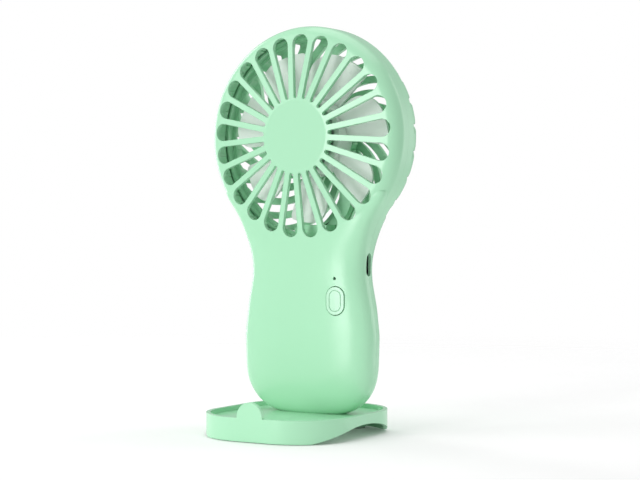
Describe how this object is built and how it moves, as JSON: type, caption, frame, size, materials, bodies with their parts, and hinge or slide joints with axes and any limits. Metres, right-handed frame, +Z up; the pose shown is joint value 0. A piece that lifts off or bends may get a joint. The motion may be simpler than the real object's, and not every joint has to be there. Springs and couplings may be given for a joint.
{
  "type": "handheld fan with desk tray",
  "caption": "Palm-size handheld electric fan with a round head, radial front grille, twist-off ribbed rear cover and side charging port, standing in a skirted desk tray.",
  "frame": {"origin": "middle of the tray on the table it stands on", "axes": "+Z up, the fan blows towards -Y, +X is the charging-port side (the viewer's right when facing the grille)"},
  "size_m": [0.0926, 0.074, 0.1705],
  "materials": {
    "body_plastic": "satin",
    "button_plastic": "satin",
    "impeller_plastic": "satin, slightly translucent",
    "steel": "satin",
    "magnet": "matte",
    "black_plastic": "matte",
    "brass": "satin",
    "copper": "gloss",
    "board": "satin",
    "chip": "matte",
    "light": "clear",
    "cell_wrap": "satin",
    "foam": "matte",
    "red_lead": "satin",
    "black_lead": "satin",
    "pad": "matte"
  },
  "bodies": {
    "base": {"base_tray": "body_plastic", "foot_pad_1": "pad", "foot_pad_2": "pad", "foot_pad_3": "pad", "foot_pad_4": "pad"},
    "fan": {"battery_cell": "cell_wrap", "battery_lead_black": "black_lead", "battery_lead_red": "red_lead", "battery_tape": "foam", "board_part_1": "chip", "board_part_2": "chip", "board_part_3": "chip", "board_part_4": "chip", "board_part_5": "chip", "board_part_6": "chip", "board_screws": "steel", "body_screws": "steel", "bracket_screws": "steel", "brush_lower": "brass", "brush_upper": "brass", "button_switch": "steel", "circuit_board": "board", "front_bushing": "brass", "front_shell": "body_plastic", "led": "light", "light_pipe": "light", "magnet_left": "magnet", "magnet_right": "magnet", "motor_bracket": "body_plastic", "motor_can": "steel", "motor_end_cap": "black_plastic", "motor_lead_black": "black_lead", "motor_lead_red": "red_lead", "rear_bushing": "brass", "rear_shell": "body_plastic", "terminal_lower": "brass", "terminal_upper": "brass", "usb_connector": "steel"},
    "cover": {"rear_cover": "body_plastic"},
    "rotor": {"impeller": "impeller_plastic", "shaft": "steel", "armature_core": "steel", "winding_1": "copper", "winding_2": "copper", "winding_3": "copper", "commutator": "brass"},
    "key": {"button_cap": "button_plastic", "switch_plunger": "black_plastic"}
  },
  "joints": [
    {"name": "fan_lift_off", "type": "slide", "parent": "base", "child": "fan", "axis": [0, 0, 1], "range_m": [0, 0.025]},
    {"name": "impeller_spin", "type": "hinge", "parent": "fan", "child": "rotor", "pos_m": [0, 0.0115, 0.1242], "axis": [0, -1, 0], "continuous": true},
    {"name": "button_press", "type": "slide", "parent": "fan", "child": "key", "axis": [0, 1, 0], "range_m": [0, 0.0004], "stiffness_N_per_m": 2500, "springref_m": -0.0002},
    {"name": "cover_twist", "type": "hinge", "parent": "fan", "child": "cover", "pos_m": [0, 0.0115, 0.1242], "axis": [0, -1, 0], "range_deg": [0, 14]}
  ]
}
